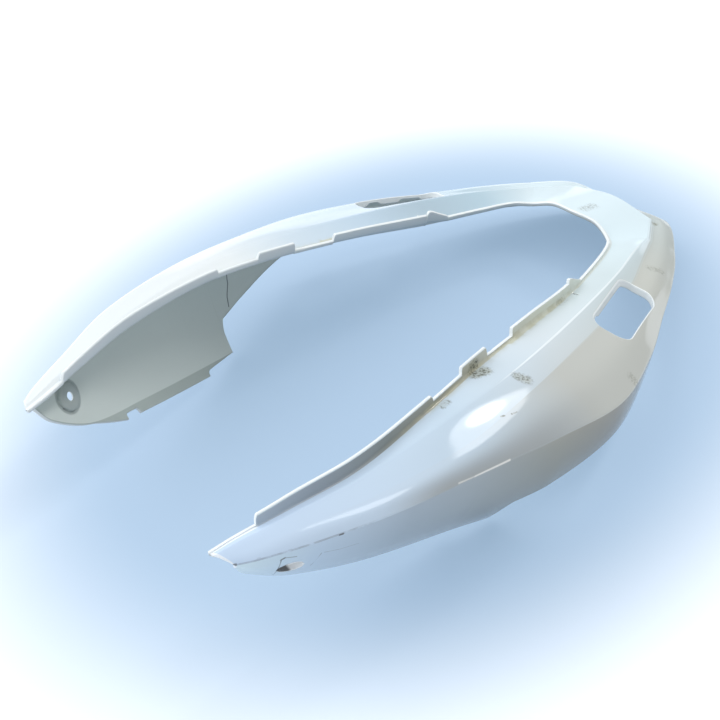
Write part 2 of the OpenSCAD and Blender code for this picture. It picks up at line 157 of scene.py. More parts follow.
def panel_point(waist, edge, foot, u, share):
    """A point down the side panel, which bellies out between the waist and its lower edge."""
    belly = np.interp(u, STATIONS, BELLY)[:, None] * 4 * share * (1 - share)
    return waist + share * (edge - waist) + belly * flat(waist - foot)


def edge_share(u):
    """Share of the panel above its lower edge: all of it before the pointed corner, up to the arch behind."""
    arch = np.interp(u, STATIONS, ARCH_SHARE)
    near = arch + 0.5 * (1 - arch) * np.clip(1 - (u - PANEL_CORNER) / 8, 0, 1) ** 2
    return 1 + (near - 1) * np.clip((u - PANEL_CORNER) / 1.2, 0, 1)


def keys(u, place=None):
    """Ten key points of the outer skin, from the lip's top to the hem's edge; place sets lip and hem."""
    place = u if place is None else place
    foot, crest, shoulder, waist = (guide(n, u) for n in ("foot", "crest", "shoulder", "waist"))
    edge = guide("panel", u)
    share = edge_share(place)[:, None]
    fold = panel_point(waist, edge, foot, u, share)
    middle = panel_point(waist, edge, foot, u, share / 2)
    before = panel_point(waist, edge, foot, u, share - 0.02)
    valley = foot + (crest - foot) * np.interp(u, STATIONS, VALLEY_SHARE)[:, None]
    lip_up = np.array([0, 0, math.cos(LIP_LEAN)]) - math.sin(LIP_LEAN) * flat(crest - foot)
    top = foot + lip_height(place)[:, None] * lip_up
    down = unit(fold - before)
    width = hem_width(place)[:, None]
    turned = unit(down + HEM_TURN * np.clip((width - 1.5) / 3, 0, 1) * flat(foot - waist))
    chord = waist - shoulder
    run = np.linalg.norm(chord[:, :2], axis=1, keepdims=True)
    out = flat(chord)
    bulge = np.concatenate([-out[:, :1] * chord[:, 2:], -out[:, 1:2] * chord[:, 2:], run], axis=1)
    swell = np.interp(u, STATIONS, SWELL)[:, None]
    swollen = (shoulder + waist) / 2 + swell * bulge / np.linalg.norm(chord, axis=1, keepdims=True)
    return np.stack([top, foot, valley, crest, shoulder, swollen, waist, middle, fold, fold + width * turned])


def sunk_keys(u, depth):
    """The key points moved inwards by a depth, mitred at every crease.

    Where a line jumps by more than 3 mm in 1 mm of arm, its direction is taken from the waist instead.
    """
    here = keys(u)
    ahead, behind = np.maximum(u - 0.5, STATIONS[0]), np.minimum(u + 0.5, STATIONS[-1])
    along = keys(behind, u) - keys(ahead, u)
    steady = (guide("waist", behind) - guide("waist", ahead))[None]
    along = np.where(np.linalg.norm(along, axis=2, keepdims=True) > 3, steady, along)
    moved = np.empty_like(here)
    for j in range(10):
        a, b = max(j, 1), min(j, 8)
        before = unit(np.cross(here[a] - here[a - 1], along[j]))
        after = unit(np.cross(here[b + 1] - here[b], along[j]))
        lean = np.maximum(1 + (before * after).sum(1, keepdims=True), 0.5)
        moved[j] = here[j] + depth[:, None] * (before + after) / lean
    return moved


def skin_segments(k, u):
    """The stretches of a skin between its key points, each a function of the share along it."""
    top = k[1:7]
    soft = [np.ones(len(u))] + [np.interp(u, STATIONS, SOFT[n]) for n in ("valley", "crest", "shoulder")]
    soft = [s[:, None] for s in soft + [np.ones(len(u))] * 2]
    pull = []
    for j in range(6):
        a, b = top[max(j - 1, 0)], top[min(j + 1, 5)]
        pull.append((b - a) / (np.linalg.norm(top[j] - a, axis=1, keepdims=True)
                               + np.linalg.norm(b - top[j], axis=1, keepdims=True)))

    def curve(j):
        """The stretch from one point of the upper skin to the next, as soft at its ends as its creases."""
        chord = top[j + 1] - top[j]
        size = np.linalg.norm(chord, axis=1, keepdims=True)
        leave = soft[j] * size * pull[j] + (1 - soft[j]) * chord
        arrive = soft[j + 1] * size * pull[j + 1] + (1 - soft[j + 1]) * chord
        return lambda t: hermite(top[j], leave, top[j + 1], arrive, t)

    def face(t):
        """The upper face, in two halves over its swell."""
        return np.where(t < 0.5, curve(3)(np.minimum(t, 0.5) * 2), curve(4)(np.maximum(t, 0.5) * 2 - 1))

    def panel(t):
        """A parabola from the waist through the middle of the panel to the fold."""
        return k[6] * (1 - t) * (1 - 2 * t) + k[7] * 4 * t * (1 - t) + k[8] * t * (2 * t - 1)

    return [lambda t: k[0] + (k[1] - k[0]) * t, curve(0), curve(1), curve(2), face, panel,
            lambda t: k[8] + (k[9] - k[8]) * t]


# Wall: one thickness of plastic all over, as a moulding has, closed round its free edges.
# Every section is one closed loop round it: outer skin, hem edge, inner skin and lip edge.
# Sections lie close together at the steps of the lip and the hem, and wider apart between them.
WALL = 3.0
TIP_ROUND = 1.6
LAST = float(STATIONS[-1])
places = set(np.arange(3, LAST, 3.4)) | {0, 0.12, 0.4, 0.8, 1.4, 2.1, LAST}
steps = (FRONT_LIP["from"], FRONT_LIP["to"], TAB["from"], TAB["to"], FLANGE["from"], *EAR_ENDS,
         HEM_NOTCH["from"], HEM_NOTCH["to"], HEM_REAR["from"] + 1, PANEL_CORNER)
for step in steps:
    for off in (0, 0.18, 0.45, 0.8, 1.2, 1.7, 2.3, 3.2):
        places |= {step - off, step + off}
for corner in CORNERED["crest"]:
    for off in (0, 0.4, 1, 2):
        places |= {corner - off, corner + off}
u = np.array(sorted(places))
u = u[np.concatenate([[True], np.diff(u) > 0.1])]
tip = np.clip(1 - u / TIP_ROUND, 0, 1)
thinned = WALL / 2 * (1 - np.sqrt(np.maximum(1 - tip**2, 0.06)))
outer = skin_segments(sunk_keys(u, thinned), u)
inner = skin_segments(sunk_keys(u, WALL - thinned), u)
back = [lambda t, s=s: s(1 - t) for s in inner[::-1]]


def hem_edge(t):
    """Across the wall at the edge of the hem, from the outer to the inner skin."""
    return outer[6](np.ones_like(t)) * (1 - t) + inner[6](np.ones_like(t)) * t


def lip_edge(t):
    """Across the wall on top of the lip, from the inner to the outer skin."""
    return inner[0](np.zeros_like(t)) * (1 - t) + outer[0](np.zeros_like(t)) * t


# Radii at the start of each stretch of the loop, and the points along each stretch and round each corner.
segments = outer + [hem_edge] + back + [lip_edge]
foot_radius = 2.5 + 4.5 * bump(u, 320, 458, 14)
creased = {name: 1 - np.interp(u, STATIONS, SOFT[name]) for name in SOFT}
lip_radius = 0.6 + 0.75 * (u < 300)
radii = [lip_radius, foot_radius, 2.0 * creased["valley"] + 0.1, 1.5 * creased["crest"] + 0.1,
         2.2 * creased["shoulder"] + 0.1, 1.3, 1.3, 0.9, 0.9, 1.0, 1.5, 2.0, 1.5, 2.0,
         foot_radius + 2, lip_radius]
body_steps = [3, 5, 5, 6, 14, 10, 2, 1, 1, 5, 7, 3, 2, 2, 2, 1]
corner_steps = [3, 6, 3, 4, 4, 4, 3, 2, 2, 2, 2, 2, 2, 2, 3, 3]
radii = [np.broadcast_to(r, u.shape).astype(float) for r in radii]
one = np.ones((len(u), 1))
lengths = []
for segment in segments:
    fine = np.stack([segment(one * t) for t in np.linspace(0, 1, 9)])
    lengths.append(np.maximum(np.linalg.norm(np.diff(fine, axis=0), axis=2).sum(0), 1e-3))
ROUND_SHARE = 0.42
columns, kinds = [], []
count = len(segments)
for i, segment in enumerate(segments):
    after = (i + 1) % count
    start = (np.minimum(radii[i], ROUND_SHARE * lengths[i]) / lengths[i])[:, None]
    stop = 1 - (np.minimum(radii[after], ROUND_SHARE * lengths[i]) / lengths[i])[:, None]
    for m in range(body_steps[i] + 1):
        columns.append(segment(start + (stop - start) * m / body_steps[i]))
        kinds.append(i + 0.19 * m / body_steps[i])
    begin = columns[-1]
    end = segments[after]((np.minimum(radii[after], ROUND_SHARE * lengths[after]) / lengths[after])[:, None])
    peak = segment(one)
    for m in range(1, corner_steps[after]):
        t = m / corner_steps[after]
        columns.append((1 - t) ** 2 * begin + 2 * t * (1 - t) * peak + t * t * end)
        kinds.append(i + 0.5)
loops = np.stack(columns, axis=1)
kinds = np.array(kinds)

# Both arms of the shell in one mesh, from one tip round the tail to the other, before its openings are cut.
# Every point keeps its place along the arm, its stretch round the section and its side for the finish.
mirror = np.array([1, -1, 1])
grid = np.concatenate([loops, loops[-2::-1] * mirror])
rows, cols = grid.shape[:2]
verts = [tuple(p) for p in grid.reshape(-1, 3)]
along_values = list(np.repeat(np.concatenate([u, u[-2::-1]]), cols))
round_values = list(np.tile(kinds, rows))
side_values = list(np.repeat(np.concatenate([np.ones(len(u)), -np.ones(len(u) - 1)]), cols))
faces = [(i * cols + j, i * cols + (j + 1) % cols, (i + 1) * cols + (j + 1) % cols, (i + 1) * cols + j)
         for i in range(rows - 1) for j in range(cols)]
OUTER_UP_TO = 7.4
half = int((kinds < OUTER_UP_TO).sum())


def facing_column(j):
    """The column of the inner skin that faces column j of the outer skin."""
    return cols - 1 - int(j * (cols - half - 1) / (half - 1))


for i, order in ((0, 1), (rows - 1, -1)):
    for j in range(half - 1):
        a, b, c, d = (i * cols + column for column in (j, j + 1, facing_column(j), facing_column(j + 1)))
        ring = [a, b, d] if c == d else [a, b, d, c]
        faces.append(tuple(ring[::-order]))


def outer_height(s, y):
    """Height of the outer face over a point of the plan, on the left arm."""
    probe = np.array([float(s)])
    column = np.stack([segment(np.ones((1, 1)) * t)[0] for segment in skin_segments(keys(probe), probe)[1:5]
                       for t in np.linspace(0, 1, 13)])
    return float(np.interp(y, column[:, 1], column[:, 2]))


def clip(field, mask):
    """Cuts the masked faces away where the field is negative; gives the loop of new points round the hole."""
    global faces
    cut, kept, edges = {}, [], {}

    def crossing(a, b):
        """The new point where the field passes through 0 on an edge."""
        key = (min(a, b), max(a, b))
        if key not in cut:
            t = field[key[0]] / (field[key[0]] - field[key[1]])
            p = np.array(verts[key[0]]) * (1 - t) + np.array(verts[key[1]]) * t
            cut[key] = len(verts)
            verts.append(tuple(p))
            for values in (along_values, round_values, side_values):
                values.append(values[key[0]])
        return cut[key]

    for face in faces:
        if not all(mask[v] for v in face):
            kept.append(face)
            continue
        inside = [field[v] > 0 for v in face]
        if all(inside):
            kept.append(face)
        elif any(inside):
            ring, ends = [], []
            for a, b in zip(face, face[1:] + face[:1]):
                if field[a] > 0:
                    ring.append(a)
                if (field[a] > 0) != (field[b] > 0):
                    c = crossing(a, b)
                    ring.append(c)
                    ends.append((c, field[a] > 0))
            kept.append(tuple(ring))
            leaving = [c for c, out in ends if out]
            entering = [c for c, out in ends if not out]
            for a, b in zip(leaving, entering):
                edges[a] = b
    faces = kept
    start = next(iter(edges))
    loop = [start]
    while edges[loop[-1]] != start:
        loop.append(edges[loop[-1]])
    assert len(loop) == len(edges), "an opening is cut in more than one loop"
    return loop


INNER_FROM = 7.2


def cut_wall(distance, nearby, outer_reach, inner_reach, inner_from=INNER_FROM):
    """Cuts an opening through the outer and the inner skin of the wall; gives the new loop in each."""
    rims = []
    for reach, is_inner in ((outer_reach, False), (inner_reach, True)):
        place, stretch = np.array(verts), np.array(round_values)
        skin = stretch > inner_from if is_inner else stretch <= INNER_FROM
        rims.append(clip(distance(place) - reach, nearby(place) & skin))
    return rims


def add_ring(source, moved, tag):
    """New points that keep the place and side of their source points, and get a tag for the finish."""
    first = len(verts)
    for v, p in zip(source, moved):
        verts.append(tuple(p))
        along_values.append(along_values[v])
        round_values.append(tag)
        side_values.append(side_values[v])
    return list(range(first, first + len(moved)))


def join(a, b):
    """Faces between two rings of the same length; the first one is the rim of the cut skin."""
    size = len(a)
    for i in range(size):
        faces.append((a[(i + 1) % size], a[i], b[i], b[(i + 1) % size]))


def zipper(a, b, centre, across, up):
    """Faces between two rings of different lengths, matched by their angle about a centre."""
    def angles(ring):
        """Angles of a ring's points about the centre."""
        p = np.array([verts[v] for v in ring]) - centre
        return np.arctan2(p @ up, p @ across)
    fa, fb = angles(a), angles(b)
    turn = np.sign(np.median((np.diff(fa) + math.pi) % (2 * math.pi) - math.pi))
    fa = (fa * turn) % (2 * math.pi)
    fb = (fb * turn) % (2 * math.pi)
    ia, ib = np.argsort(fa), np.argsort(fb)
    a, fa = [a[i] for i in ia], list(fa[ia]) + [fa[ia[0]] + 2 * math.pi]
    b, fb = [b[i] for i in ib], list(fb[ib]) + [fb[ib[0]] + 2 * math.pi]
    i = j = 0
    while i < len(a) or j < len(b):
        if j >= len(b) or (i < len(a) and fa[i + 1] <= fb[j + 1]):
            faces.append((a[(i + 1) % len(a)], a[i % len(a)], b[j % len(b)]))
            i += 1
        else:
            faces.append((a[i % len(a)], b[j % len(b)], b[(j + 1) % len(b)]))
            j += 1


# Grab rail holes: the rounded openings in the upper faces through which the passenger's rail passes.
# Each is moulded with a lip that rolls in and turns down all round, as deep as lip_deep.
# The lip is lower by lip_cut between the angles of its notches, which are seen in the photo.
RAIL = {"at": 459, "out": 133, "len": 95, "wide": 35.5, "radius": 12, "turn": math.radians(16),
        "rim": 1.0, "under": 1.3, "lip_deep": 6.5, "lip_cut": 3.2, "notches": ((28, 62), (128, 146), (205, 212))}
RAIL_ROLL = ((0.4, 0.06), (0.8, 0.26), (1.15, 0.65), (1.4, 1.15), (1.5, 1.8))
RAIL_TAG = 20.0


def rail_plan(place, hand):
    """Places in plan along and across a rail hole, from its middle."""
    back, out = place[:, 0] - RAIL["at"], place[:, 1] * hand - RAIL["out"]
    return (back * math.cos(RAIL["turn"]) - out * math.sin(RAIL["turn"]),
            back * math.sin(RAIL["turn"]) + out * math.cos(RAIL["turn"]))


def rail_outline(x, y):
    """Distance in plan outside the rounded outline of a rail hole."""
    qx = np.abs(x) - (RAIL["len"] / 2 - RAIL["radius"])
    qy = np.abs(y) - (RAIL["wide"] / 2 - RAIL["radius"])
    far = np.hypot(np.maximum(qx, 0), np.maximum(qy, 0))
    return far + np.minimum(np.maximum(qx, qy), 0) - RAIL["radius"]


def upright(height):
    """Vectors straight up, as long as the heights."""
    return np.stack([0 * height, 0 * height, height], axis=1)


for hand in (1, -1):
    rim, under = cut_wall(lambda place: rail_outline(*rail_plan(place, hand)),
                          lambda place: np.array(side_values) * hand > 0,
                          RAIL["rim"], RAIL["under"], inner_from=9.6)
    base = np.array([verts[v] for v in rim])
    lx, ly = rail_plan(base, hand)
    near = 0.05
    grad = np.stack([rail_outline(lx + near, ly) - rail_outline(lx - near, ly),
                     rail_outline(lx, ly + near) - rail_outline(lx, ly - near)], axis=1)
    grad = -grad / np.linalg.norm(grad, axis=1, keepdims=True)
    inward = np.zeros((len(rim), 3))
    inward[:, 0] = grad[:, 0] * math.cos(RAIL["turn"]) + grad[:, 1] * math.sin(RAIL["turn"])
    inward[:, 1] = (-grad[:, 0] * math.sin(RAIL["turn"]) + grad[:, 1] * math.cos(RAIL["turn"])) * hand
    tilt = np.array([(outer_height(p[0] - q[0] * 3, abs((p - q * 3)[1])) - outer_height(p[0], abs(p[1]))) / 3
                     for p, q in zip(base, inward)])
    slope = inward.copy()
    slope[:, 2] = -tilt
    angle = np.degrees(np.arctan2(ly, lx)) % 360
    depth = np.full(len(rim), RAIL["lip_deep"])
    for low_from, low_to in RAIL["notches"]:
        edge = np.minimum(angle - low_from, low_to - angle)
        depth -= RAIL["lip_cut"] * np.clip(edge / 3 + 0.5, 0, 1)
    rings = [base + slope * inwards + np.array([0, 0, -1]) * drop for inwards, drop in RAIL_ROLL]
    roll_in, roll_down = RAIL_ROLL[-1]
    for t in (0.35, 0.7, 0.9):
        rings.append(base + inward * (roll_in + 0.2 * (depth * t)[:, None])
                     + upright(-tilt * roll_in - roll_down - (depth - roll_down) * t))
    lip_end = base + inward * (roll_in + 0.2 * depth[:, None]) + upright(-tilt * roll_in - depth)
    rings += [lip_end + inward * -0.3 + [0, 0, -0.3], lip_end + inward * -1.1 + [0, 0, -0.4],
              lip_end + inward * -1.8 + [0, 0, -0.1]]
    rings.append(base + inward * -0.2 + upright(np.full(len(rim), -3.4)))
    ring = rim
    for moved in rings:
        fresh = add_ring(rim, moved, RAIL_TAG)
        join(ring, fresh)
        ring = fresh
    centre = np.array([RAIL["at"], RAIL["out"] * hand, 80.0])
    zipper(ring, under, centre, np.array([1.0, 0, 0]), np.array([0, 1.0, 0]))

# Screw cups: a round cup moulded in the front of each side panel, with the screw bore through its floor.
# A boss stands behind it on the inside. Cup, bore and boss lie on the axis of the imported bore.
# The profile gives radius and height of each ring: down the cup, through the bore and back over the boss.
CUP = {"at": 48.5, "down": 31, "rim": 10.5, "boss_foot": 12.6, "reach": 40,
       "tag": 21.0, "boss_tag": 12.0, "cup_rings": 9}
probe = np.array([CUP["at"], CUP["at"] + 0.5])
cup_waist, cup_edge, cup_foot = (guide(name, probe) for name in ("waist", "panel", "foot"))
cup_share = CUP["down"] / np.linalg.norm(cup_edge[0] - cup_waist[0])
cup_line = panel_point(cup_waist, cup_edge, cup_foot, probe, cup_share)
cup_down = unit((panel_point(cup_waist, cup_edge, cup_foot, probe, cup_share + 0.02) - cup_line)[0])
cup_out = unit(np.cross(cup_line[1] - cup_line[0], cup_down))
for hand in (1, -1):
    flip = np.array([1, hand, 1])
    centre, axis, down = cup_line[0] * flip, cup_out * flip, cup_down * flip
    across = np.cross(axis, down)
    rim, under = cut_wall(lambda place: np.hypot((place - centre) @ across, (place - centre) @ down),
                          lambda place: np.linalg.norm(place - centre, axis=1) < CUP["reach"],
                          CUP["rim"], CUP["boss_foot"])
    base = np.array([verts[v] for v in rim]) - centre
    theta = np.arctan2(base @ down, base @ across)
    spoke = np.cos(theta)[:, None] * across + np.sin(theta)[:, None] * down
    level = (base @ axis)[:, None]
    profile = [(10.15, level - 0.12), (9.9, level - 0.4), (9.75, level - 0.9), (9.75, -3.6), (9.5, -4.2),
               (8.9, -4.5), (4.5, -4.5), (4.0, -4.6), (3.8, -4.9), (3.8, -6.3), (4.0, -6.5), (11.3, -6.5),
               (11.9, -6.0), (12.0, -4.6), (12.3, -3.6)]
    ring = rim
    for step, (radius, height) in enumerate(profile):
        tag = CUP["tag"] if step < CUP["cup_rings"] else CUP["boss_tag"]
        fresh = add_ring(rim, centre + spoke * radius + height * axis, tag)
        join(ring, fresh)
        ring = fresh
    zipper(ring, under, centre, across, down)

# Slits: a short opening across the foot of the rear flange, just in front of the ear, for a tab of the seat.
# It goes through the wall as moulded, and its rim is softened.
SLIT = {"at": 442.5, "out": 91, "turn": math.radians(21), "half_wide": 0.5, "half_long": 4.0, "radius": 0.7}
SLIT_TAG = 22.0


def slit_plan(place, hand):
    """Places in plan back and out from the middle of a slit."""
    return place[:, 0] - SLIT["at"], place[:, 1] * hand - SLIT["out"]


def slit_outline(place, hand):
    """Distance in plan outside the rounded outline of a slit."""
    back, out = slit_plan(place, hand)
    qx = np.abs(back * math.cos(SLIT["turn"]) + out * math.sin(SLIT["turn"])) - SLIT["half_wide"]
    qy = np.abs(out * math.cos(SLIT["turn"]) - back * math.sin(SLIT["turn"])) - SLIT["half_long"]
    far = np.hypot(np.maximum(qx, 0), np.maximum(qy, 0))
    return far + np.minimum(np.maximum(qx, qy), 0) - SLIT["radius"]


def slit_box(place, hand):
    """Which points lie close enough to a slit for it to cut them."""
    back, out = slit_plan(place, hand)
    return (np.abs(back) < 12) & (np.abs(out) < 14)


for hand in (1, -1):
    rim, under = cut_wall(lambda place: slit_outline(place, hand), lambda place: slit_box(place, hand), 0, 0)
    base = np.array([verts[v] for v in rim])
    shrink = (base - np.array([SLIT["at"], SLIT["out"] * hand, 0])) * np.array([1, 1, 0])
    fresh = add_ring(rim, base - 0.12 * shrink + [0, 0, -0.4], SLIT_TAG)
    join(rim, fresh)
    centre = np.array([SLIT["at"], SLIT["out"] * hand, 88.0])
    zipper(fresh, under, centre, np.array([1.0, 0, 0]), np.array([0, 1.0, 0]))

# Shell set in the frame: it is pitched as it lies on the floor, on its two panel corners and the tail.
# The place along the arm, the stretch round the section and the side stay with it as point values.
points = np.array(verts)
pitch = math.radians(2.2)
forward = points * np.array([-1, 1, 1])
placed = np.stack([forward[:, 0] * math.cos(pitch) - forward[:, 2] * math.sin(pitch), forward[:, 1],
                   forward[:, 0] * math.sin(pitch) + forward[:, 2] * math.cos(pitch)], axis=1)
shift = Vector((0.339048, 0, 0.0142421))
placed += np.array(shift) * 1000
mesh = bpy.data.meshes.new("tail_shell")
mesh.from_pydata([tuple(p) for p in placed / 1000], [], faces)
for name, values in (("along", along_values), ("round", round_values), ("side", side_values)):
    mesh.attributes.new(name, "FLOAT", "POINT").data.foreach_set("value", np.array(values, np.float32))
mesh.validate()
made = bmesh.new()
made.from_mesh(mesh)
bmesh.ops.recalc_face_normals(made, faces=made.faces)
if made.calc_volume(signed=True) < 0:
    bmesh.ops.reverse_faces(made, faces=made.faces)
assert all(len(edge.link_faces) == 2 for edge in made.edges), "the shell is not closed"
made.to_mesh(mesh)
made.free()
shell = bpy.data.objects.new("shell", mesh)
scene.collection.objects.link(shell)
for polygon in mesh.polygons:
    polygon.use_smooth = True

# White plastic, glossy as it leaves the mould, with parts of its colour painted as light and shade. It is light
# blue to the tips and warm grey to the tail outside, and matt inside, where it wasn't polished.
# "round" counts the stretches: 0 lip, 1 to 3 up to the shoulder, 4 face, 5 panel, 6 hem, 8 to 14 inner skin.
plastic = bpy.data.materials.new("aged_white_and_painted_light")
plastic.use_nodes = True
tree = plastic.node_tree
shader = tree.nodes["Principled BSDF"]


def node(tree, kind, **settings):
    """A new node with its settings."""
    made = tree.nodes.new(kind)
    for name, value in settings.items():
        setattr(made, name, value)
    return made


def attach(tree, source, target):
    """Links an output to an input, or writes a plain value into it."""
    if isinstance(source, bpy.types.NodeSocket):
        tree.links.new(source, target)
    else:
        target.default_value = source


def maths(tree, operation, a, b=0.0, c=0.0, clamp=False):
    """A Math node on values or outputs."""
    made = node(tree, "ShaderNodeMath", operation=operation, use_clamp=clamp)
    for socket, value in zip(made.inputs, (a, b, c)):
        attach(tree, value, socket)
    return made.outputs[0]


def times(tree, first, *others):
    """The product of values or outputs."""
    for other in others:
        first = maths(tree, "MULTIPLY", first, other)
    return first


def ramp(tree, value, start, stop, low=0.0, high=1.0):
    """A smooth step of a value between two limits."""
    made = node(tree, "ShaderNodeMapRange", interpolation_type="SMOOTHSTEP")
    for socket, given in zip(made.inputs, (value, start, stop, low, high)):
        attach(tree, given, socket)
    return made.outputs[0]


def band(tree, value, opens, full, fades, gone):
    """1 where a value lies between full and fades, and 0 before opens and past gone."""
    return times(tree, ramp(tree, value, opens, full), ramp(tree, value, gone, fades))


def blend(tree, share, a, b):
    """A mix of two colours."""
    made = node(tree, "ShaderNodeMix", data_type="RGBA")
    attach(tree, share, made.inputs["Factor"])
    for name, value in (("A", a), ("B", b)):
        socket = next(i for i in made.inputs if i.name == name and i.type == "RGBA")
        attach(tree, value, socket)
    return next(o for o in made.outputs if o.type == "RGBA")


def reading(tree, name):
    """The value that each point of the shell keeps under a name."""
    return node(tree, "ShaderNodeAttribute", attribute_name=name).outputs["Fac"]


def colour_run(tree, value, stops):
    """A colour that changes along a value, through the given stops."""
    made = node(tree, "ShaderNodeValToRGB")
    attach(tree, value, made.inputs["Fac"])
    stretch = made.color_ramp.elements
    while len(stretch) < len(stops):
        stretch.new(0.5)
    for element, (place, colour) in zip(stretch, stops):
        element.position = place
        element.color = (*colour, 1)
    return made.outputs["Color"]


TONES = {
    "painted_shade": (0.40, 0.42, 0.42, 1), "crest": (0.94, 0.99, 1.0, 1), "tip": (0.93, 0.97, 1.0, 1),
    "lip_top_highlight": (0.90, 0.94, 0.94, 1), "inside": (0.78, 0.84, 0.80, 1), "hem": (0.52, 0.58, 0.55, 1),
    "cup_shade": (0.17, 0.18, 0.19, 1), "cup_highlight": (0.95, 0.97, 0.98, 1)}
along = maths(tree, "DIVIDE", reading(tree, "along"), LAST)
rounded = reading(tree, "round")
spot = node(tree, "ShaderNodeTexCoord").outputs["Object"]
spot_xyz = node(tree, "ShaderNodeSeparateXYZ")
attach(tree, spot, spot_xyz.inputs[0])

# Colours of the outer face, part by part, with painted light and shade: towards the seat, outwards, below the
# waist and on the far arm. Each runs along the arm from the tip, 0, to the middle of the tail, 1.
seat_side = colour_run(tree, along, [
    (0.0, (0.60, 0.73, 0.90)), (0.3, (0.58, 0.70, 0.80)), (0.5, (0.70, 0.77, 0.80)),
    (0.7, (0.66, 0.76, 0.77)), (0.85, (0.78, 0.91, 0.95)), (1.0, (0.80, 0.93, 0.97))])
# Painted shade: the outward face, past the crest, is darker and warmer than the seat side, as on the side turned
# from the light.
outward_shade = colour_run(tree, along, [
    (0.0, (0.60, 0.73, 0.90)), (0.3, (0.58, 0.68, 0.76)), (0.46, (0.58, 0.59, 0.55)),
    (0.75, (0.62, 0.63, 0.57)), (0.88, (0.54, 0.58, 0.55)), (1.0, (0.56, 0.62, 0.61))])
# Painted shade: the side panel below the waist is darker, most of all a third to a half of the way back, as on a
# side turned from the light.
panel_shade = colour_run(tree, along, [
    (0.0, (0.70, 0.86, 0.92)), (0.09, (0.57, 0.70, 0.84)), (0.19, (0.46, 0.53, 0.59)),
    (0.27, (0.47, 0.51, 0.52)), (0.39, (0.40, 0.40, 0.35)), (0.5, (0.38, 0.36, 0.31)),
    (0.62, (0.50, 0.50, 0.45)), (1.0, (0.60, 0.62, 0.58))])
# Painted light: the far arm is lighter, as lit by the key, and darker midway back, by its rail hole.
far_arm_light = colour_run(tree, along, [
    (0.33, (0.80, 0.84, 0.84)), (0.43, (0.64, 0.74, 0.81)), (0.55, (0.55, 0.68, 0.79)),
    (0.65, (0.47, 0.59, 0.67)), (0.75, (0.50, 0.65, 0.73)), (0.85, (0.74, 0.86, 0.90)),
    (1.0, (0.80, 0.93, 0.97))])
# Partly painted shade: the outer face of the seat lip is darker grey along most of the arm, darkest about a
# fifth of the way back, partly as shade on a face turned from the light. For the first 35 mm, at the bead, it is
# near-white, as a painted highlight.
lip_shade_and_glint = colour_run(tree, along, [
    (0.05, (0.93, 0.97, 1.0)), (0.054, (0.46, 0.54, 0.62)), (0.12, (0.36, 0.41, 0.46)),
    (0.22, (0.28, 0.30, 0.28)), (0.33, (0.40, 0.38, 0.29)), (0.42, (0.60, 0.60, 0.50)),
    (0.55, (0.70, 0.72, 0.60)), (0.8, (0.74, 0.80, 0.78)), (0.92, (0.90, 0.94, 0.94))])
white = blend(tree, ramp(tree, rounded, 2.8, 3.8), seat_side, outward_shade)
# Painted shade: the face is darker grey towards the waist, about 100 to 350 mm back, where it turns from the
# light.
shaded = times(tree, ramp(tree, rounded, 4.02, 4.2), band(tree, along, 0.14, 0.24, 0.36, 0.5), 0.9)
white = blend(tree, shaded, white, TONES["painted_shade"])
white = blend(tree, ramp(tree, rounded, 4.55, 4.7), white, panel_shade)
# Painted highlight: a near-white line along the crest, from about 250 to 630 mm back.
crest_highlight = band(tree, rounded, 2.32, 2.5, 2.5, 2.68)
crest_highlight_run = band(tree, along, 0.36, 0.44, 0.75, 0.9)
white = blend(tree, times(tree, crest_highlight, crest_highlight_run, 0.7), white, TONES["crest"])
# Painted highlight: the front end of each arm, and the lip and foot over the first 35 mm, are near-white, as lit
# edges.
tip_highlight_band = times(tree, ramp(tree, rounded, 1.09, 1.0), ramp(tree, along, 0.054, 0.05))
tip_highlight = maths(tree, "MAXIMUM", ramp(tree, along, 0.004, 0.002), tip_highlight_band)
white = blend(tree, tip_highlight, white, TONES["tip"])
white = blend(tree, ramp(tree, spot_xyz.outputs["Y"], 0.02, -0.08), white, far_arm_light)
lip_face = maths(tree, "SUBTRACT", 1.0, ramp(tree, rounded, 0.45, 0.95))
white = blend(tree, lip_face, white, lip_shade_and_glint)
# Painted highlight: the seat-side face and the top edge of the lip are near-white, as lit.
white = blend(tree, ramp(tree, rounded, 13.6, 14.6), white, TONES["lip_top_highlight"])
inside = band(tree, rounded, 7.3, 7.8, 13.3, 13.7)
colour = blend(tree, inside, white, TONES["inside"])
# Painted shade: the turned-in hem is darker grey-green than the rest of the inside, partly as shade where it
# turns in and down near the floor.
hem = band(tree, rounded, 7.3, 7.6, 8.2, 8.5)
colour = blend(tree, hem, colour, TONES["hem"])
# Painted shade and highlight: in each screw cup the forward half is dark, as shade, and the rear half
# near-white, as a highlight.
cup_face = band(tree, rounded, CUP["tag"] - 0.4, CUP["tag"] - 0.1, CUP["tag"] + 0.1, CUP["tag"] + 0.4)
cup_shade_and_highlight = blend(tree, ramp(tree, spot_xyz.outputs["X"], 0.286, 0.2835), TONES["cup_shade"], TONES["cup_highlight"])
colour = blend(tree, cup_face, colour, cup_shade_and_highlight)

